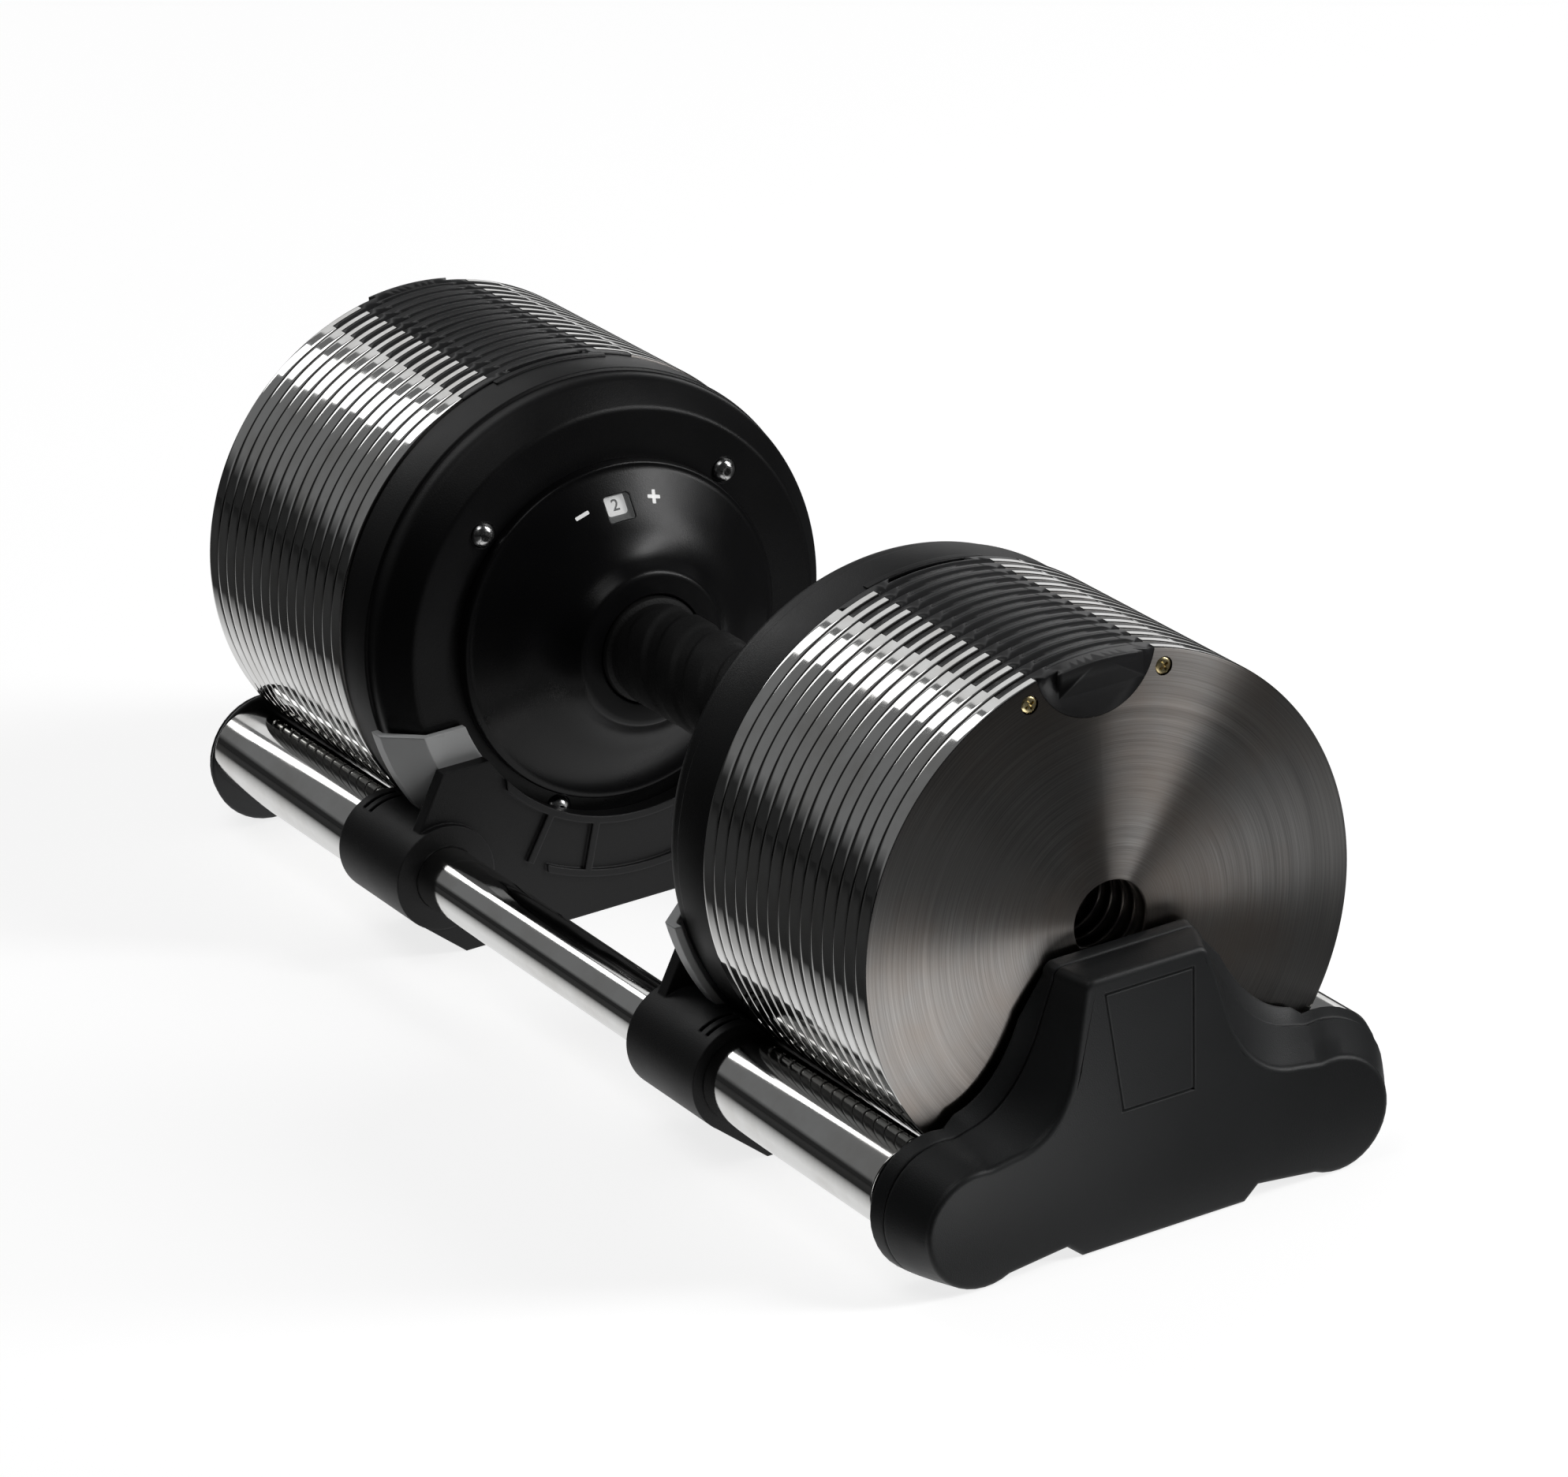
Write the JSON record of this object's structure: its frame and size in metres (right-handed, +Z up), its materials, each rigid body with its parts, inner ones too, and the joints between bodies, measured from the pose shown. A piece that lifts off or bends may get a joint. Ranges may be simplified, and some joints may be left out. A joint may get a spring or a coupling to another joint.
{
  "type": "adjustable dumbbell",
  "caption": "Twist-handle dumbbell with nesting steel plates, sitting in its plastic and chrome-tube weight cradle; the grip drives selector rods out into the plates",
  "frame": {"origin": "on the base plane, under the middle of the handle", "axes": "+X along the handle, +Y across it, +Z up"},
  "size_m": [0.46, 0.1808, 0.1738],
  "materials": {
    "spun_steel": "spun steel face with a bright chromed rim",
    "insert_black": "fine matte black",
    "brass_screw": "bright",
    "housing_black": "fine matte texture",
    "cap_black": "smooth matte",
    "lens_clear": "clear moulded plastic",
    "wheel_white": "white printed ring",
    "grip_black": "soft matte grip",
    "core_steel": "plain steel",
    "rod_steel": "ground steel",
    "screw_steel": "bright zinc",
    "tube_chrome": "mirror chrome",
    "cradle_black": "matte dark grey moulding",
    "cheek_grey": "light grey, smooth"
  },
  "bodies": {
    "cradle": {"cradle_cover_right": "cradle_black", "cradle_cover_left": "cradle_black", "cradle_end_right": "cradle_black", "cradle_end_left": "cradle_black", "cradle_bracket_right": "cradle_black", "cradle_bracket_left": "cradle_black", "guide_cheeks": "cheek_grey", "cradle_tubes": "tube_chrome", "tube_sleeves": "tube_chrome", "cradle_screws": "screw_steel"},
    "handle_frame": {"core_tube": "core_steel", "housing_right": "housing_black", "housing_left": "housing_black", "end_disc_right": "housing_black", "end_disc_left": "housing_black", "display_cap_right": "cap_black", "display_cap_left": "cap_black", "window_lenses": "lens_clear", "housing_screws": "screw_steel"},
    "grip": {"grip_sleeve": "grip_black", "number_wheel_right": "wheel_white", "number_wheel_left": "wheel_white"},
    "selector_rod_right": {"selector_rod_right": "rod_steel"},
    "selector_rod_left": {"selector_rod_left": "rod_steel"},
    "lock_pin_right": {"lock_pin_right": "rod_steel"},
    "lock_pin_left": {"lock_pin_left": "rod_steel"},
    "plate_stack_right": {"plate_01_right": "spun_steel", "plate_02_right": "spun_steel", "plate_03_right": "spun_steel", "plate_04_right": "spun_steel", "plate_05_right": "spun_steel", "plate_06_right": "spun_steel", "plate_07_right": "spun_steel", "plate_08_right": "spun_steel", "plate_09_right": "spun_steel", "plate_10_right": "spun_steel", "plate_11_right": "spun_steel", "plate_12_right": "spun_steel", "plate_13_right": "spun_steel", "plate_14_right": "spun_steel", "plate_15_right": "spun_steel", "plate_inserts_right": "insert_black", "insert_screws_right": "brass_screw"},
    "plate_stack_left": {"plate_01_left": "spun_steel", "plate_02_left": "spun_steel", "plate_03_left": "spun_steel", "plate_04_left": "spun_steel", "plate_05_left": "spun_steel", "plate_06_left": "spun_steel", "plate_07_left": "spun_steel", "plate_08_left": "spun_steel", "plate_09_left": "spun_steel", "plate_10_left": "spun_steel", "plate_11_left": "spun_steel", "plate_12_left": "spun_steel", "plate_13_left": "spun_steel", "plate_14_left": "spun_steel", "plate_15_left": "spun_steel", "plate_inserts_left": "insert_black", "insert_screws_left": "brass_screw"}
  },
  "joints": [
    {"name": "handle_lift", "type": "slide", "parent": "cradle", "child": "handle_frame", "axis": [0, 0, 1], "range_m": [0, 0.2]},
    {"name": "stack_right_lift", "type": "slide", "parent": "cradle", "child": "plate_stack_right", "axis": [0, 0, 1], "range_m": [0, 0.2]},
    {"name": "stack_left_lift", "type": "slide", "parent": "cradle", "child": "plate_stack_left", "axis": [0, 0, 1], "range_m": [0, 0.2]},
    {"name": "grip_twist", "type": "hinge", "parent": "handle_frame", "child": "grip", "pos_m": [0, 0, 0.0915], "axis": [1, 0, 0], "range_deg": [0, 337.5]},
    {"name": "rod_right_slide", "type": "slide", "parent": "handle_frame", "child": "selector_rod_right", "axis": [1, 0, 0], "range_m": [0, 0.0932]},
    {"name": "rod_left_slide", "type": "slide", "parent": "handle_frame", "child": "selector_rod_left", "axis": [-1, 0, 0], "range_m": [0, 0.0932]},
    {"name": "lock_pin_right_press", "type": "slide", "parent": "handle_frame", "child": "lock_pin_right", "axis": [0, 0, 1], "range_m": [0, 0.003], "stiffness_N_per_m": 400},
    {"name": "lock_pin_left_press", "type": "slide", "parent": "handle_frame", "child": "lock_pin_left", "axis": [0, 0, 1], "range_m": [0, 0.003], "stiffness_N_per_m": 400}
  ],
  "couplings": [
    {"joint": "rod_right_slide", "follows": "grip_twist", "m_per_rad": 0.015822},
    {"joint": "rod_left_slide", "follows": "grip_twist", "m_per_rad": 0.015822}
  ]
}
